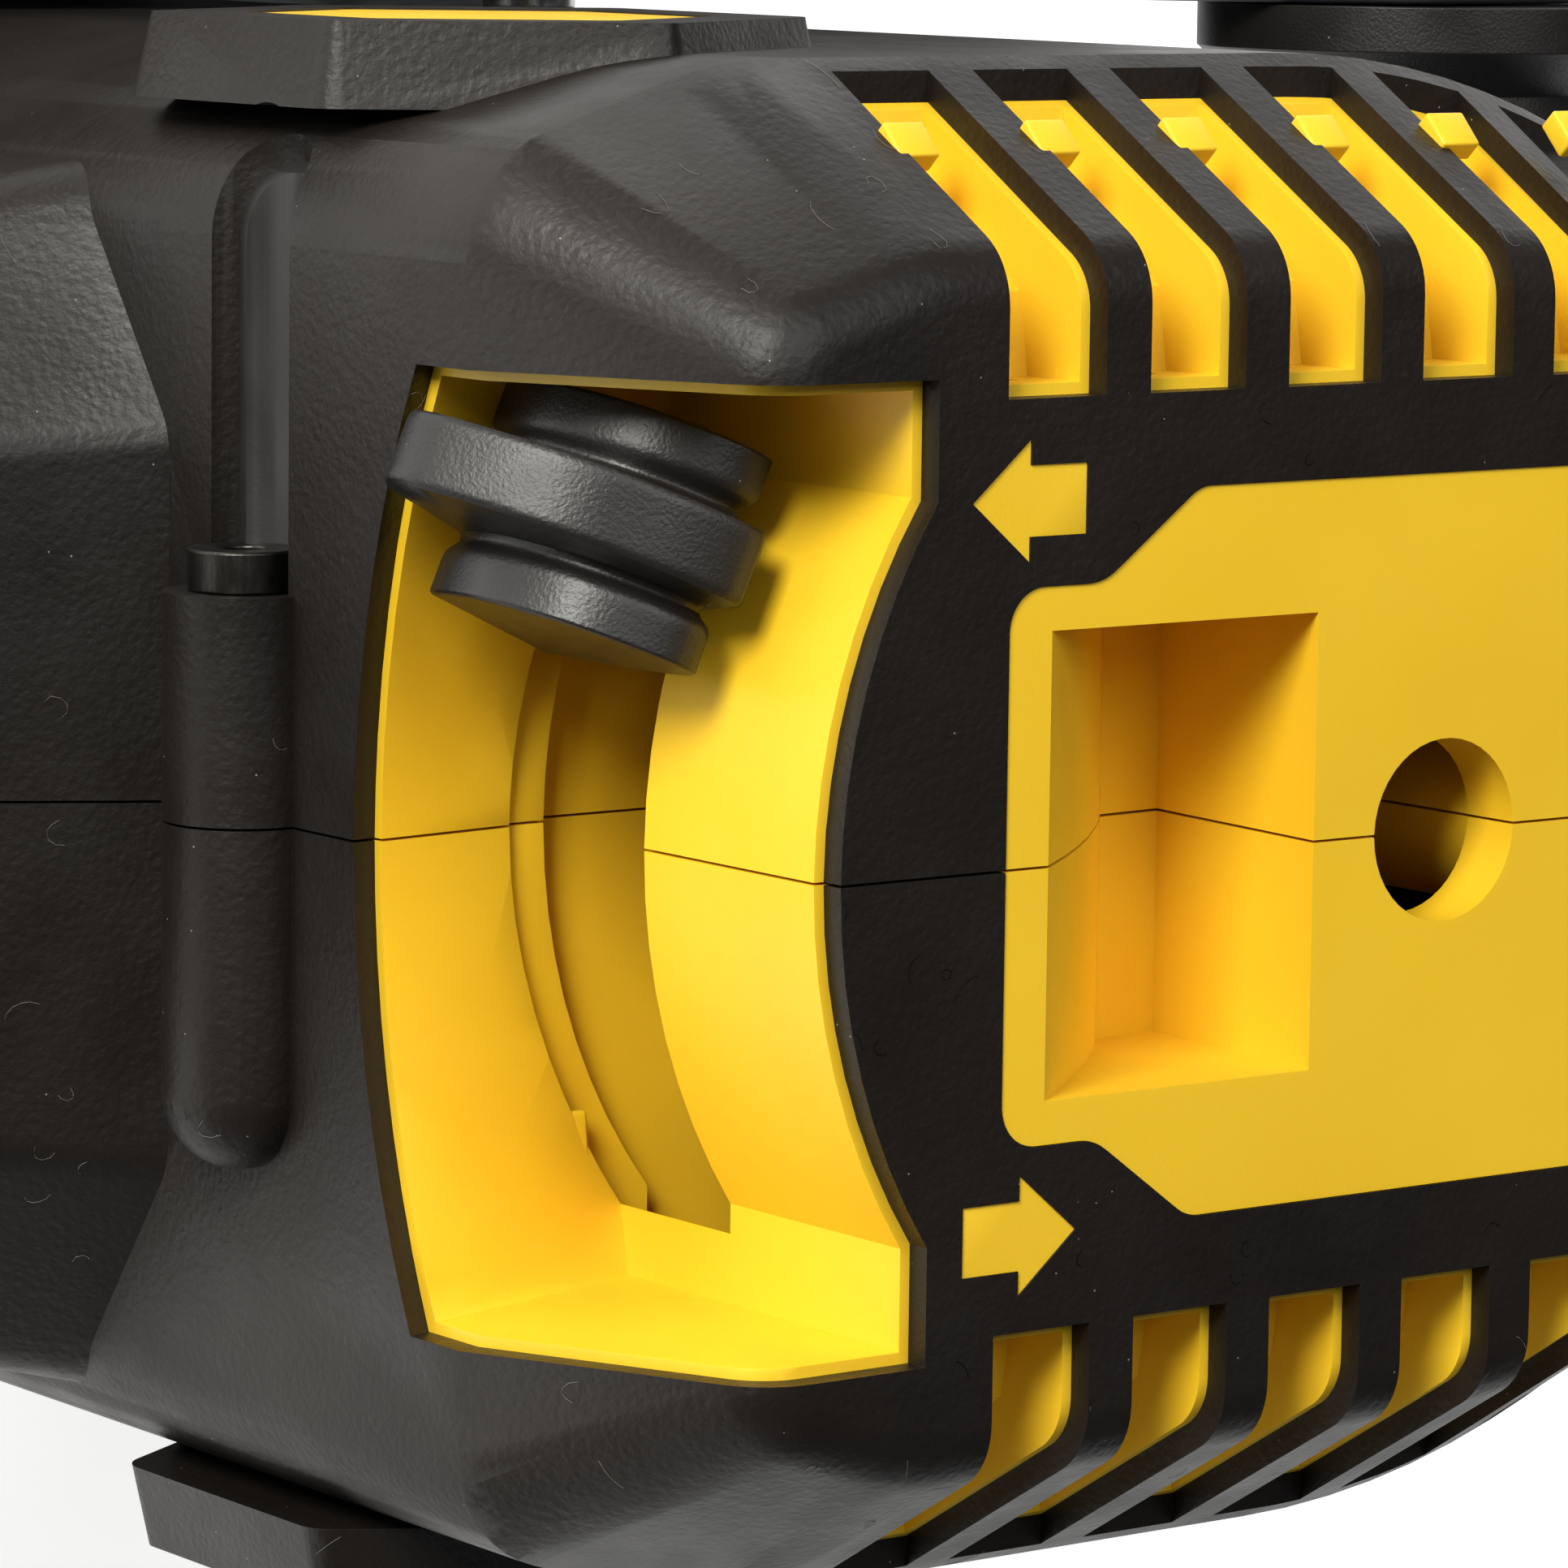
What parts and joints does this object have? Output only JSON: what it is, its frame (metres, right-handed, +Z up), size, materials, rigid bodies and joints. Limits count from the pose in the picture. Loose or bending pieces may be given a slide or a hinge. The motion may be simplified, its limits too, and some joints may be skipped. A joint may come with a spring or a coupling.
{
  "type": "wall chaser",
  "caption": "Two-disc wall chaser: upright motor with a changeover lever in its cap, closed rear handle, guarded diamond discs and a sprung plunge shoe on rollers.",
  "frame": {"origin": "on the sole, straight below the motor's axis", "axes": "+Z up out of the sole along the motor's axis, +X forwards, +Y towards the sawing discs"},
  "size_m": [0.3, 0.1914, 0.3],
  "materials": {
    "yellow_plastic": "moulded nylon, satin",
    "black_rubber": "soft moulded skin, fine grain",
    "black_plastic": "fine grained",
    "cast_aluminium": "die cast, blasted",
    "coated_guard": "powder coated",
    "bright_steel": "turned or zinc plated",
    "shoe_steel": "zinc plated sheet",
    "disc_steel": "ground, with diamond rim",
    "core_steel": "stacked laminations",
    "copper": "enamelled wire",
    "carbon": "pressed carbon",
    "roller_plastic": "nylon",
    "red_plastic": "satin"
  },
  "bodies": {
    "machine": {"left_shell": "yellow_plastic", "right_shell": "yellow_plastic", "left_grip_skin": "black_rubber", "right_grip_skin": "black_rubber", "casing_screws": "bright_steel", "upper_bearing": "bright_steel", "lower_bearing": "bright_steel", "stator_core": "core_steel", "field_coils": "copper", "gear_housing": "cast_aluminium", "flange_screws": "bright_steel", "bearing_cover": "cast_aluminium", "cover_screws": "bright_steel", "spindle_needle_bearing": "bright_steel", "spindle_ball_bearing": "bright_steel", "guard": "coated_guard", "guard_cover": "coated_guard", "guard_screws": "bright_steel", "dust_spout": "black_plastic", "handle_bracket": "coated_guard", "front_grip": "black_plastic", "front_grip_bolt": "bright_steel", "switch_body": "black_plastic", "cable_inlet": "black_plastic"},
    "brush_ring": {"changeover_lever": "black_plastic", "brush_holders": "black_plastic", "carbon_brushes": "carbon", "brush_springs": "bright_steel"},
    "rotor": {"armature_shaft": "bright_steel", "armature_core": "core_steel", "armature_winding": "copper", "commutator": "copper", "cooling_fan": "black_plastic", "pinion": "bright_steel"},
    "spindle": {"spindle": "bright_steel", "crown_gear": "bright_steel", "inner_flange": "bright_steel", "inner_disc": "disc_steel", "disc_spacers": "bright_steel", "outer_disc": "disc_steel", "flange_nut": "bright_steel"},
    "shoe": {"shoe": "shoe_steel", "pivot_pin": "bright_steel", "roller_axles": "bright_steel", "plunge_spring": "bright_steel"},
    "front_rollers": {"front_rollers": "roller_plastic"},
    "rear_rollers": {"rear_rollers": "roller_plastic"},
    "trigger": {"trigger": "black_plastic"},
    "lock_on_button": {"lock_on_button": "red_plastic"},
    "spindle_lock_button": {"spindle_lock_button": "red_plastic"},
    "depth_dial": {"depth_dial": "black_plastic"}
  },
  "joints": [
    {"name": "changeover_swing", "type": "hinge", "parent": "machine", "child": "brush_ring", "pos_m": [0, 0, 0.27], "axis": [0, 0, 1], "range_deg": [0, 48]},
    {"name": "spindle_spin", "type": "hinge", "parent": "machine", "child": "spindle", "pos_m": [0, 0.05, 0.088], "axis": [0, 1, 0], "continuous": true},
    {"name": "rotor_spin", "type": "hinge", "parent": "machine", "child": "rotor", "pos_m": [0, 0, 0.2], "axis": [0, 0, 1], "continuous": true},
    {"name": "shoe_swing", "type": "hinge", "parent": "machine", "child": "shoe", "pos_m": [0.12, 0.09, 0.024], "axis": [0, 1, 0], "range_deg": [0, 16], "stiffness_Nm_per_rad": 22, "springref_deg": -40.11},
    {"name": "front_roller_spin", "type": "hinge", "parent": "shoe", "child": "front_rollers", "pos_m": [0.118, 0, 0.0094], "axis": [0, 1, 0], "continuous": true},
    {"name": "rear_roller_spin", "type": "hinge", "parent": "shoe", "child": "rear_rollers", "pos_m": [-0.106, 0, 0.0094], "axis": [0, 1, 0], "continuous": true},
    {"name": "trigger_press", "type": "slide", "parent": "machine", "child": "trigger", "axis": [-1, 0, 0], "range_m": [0, 0.005], "stiffness_N_per_m": 600, "springref_m": -0.004},
    {"name": "lock_on_press", "type": "slide", "parent": "machine", "child": "lock_on_button", "axis": [0, 1, 0], "range_m": [0, 0.003], "stiffness_N_per_m": 500, "springref_m": -0.003},
    {"name": "spindle_lock_press", "type": "slide", "parent": "machine", "child": "spindle_lock_button", "axis": [0, 1, 0], "range_m": [0, 0.005], "stiffness_N_per_m": 500, "springref_m": -0.003},
    {"name": "depth_dial_turn", "type": "hinge", "parent": "machine", "child": "depth_dial", "pos_m": [-0.046, 0.125, 0.108], "axis": [0, 1, 0], "range_deg": [0, 270]}
  ],
  "couplings": [
    {"joint": "rotor_spin", "follows": "spindle_spin", "ratio": -3}
  ]
}
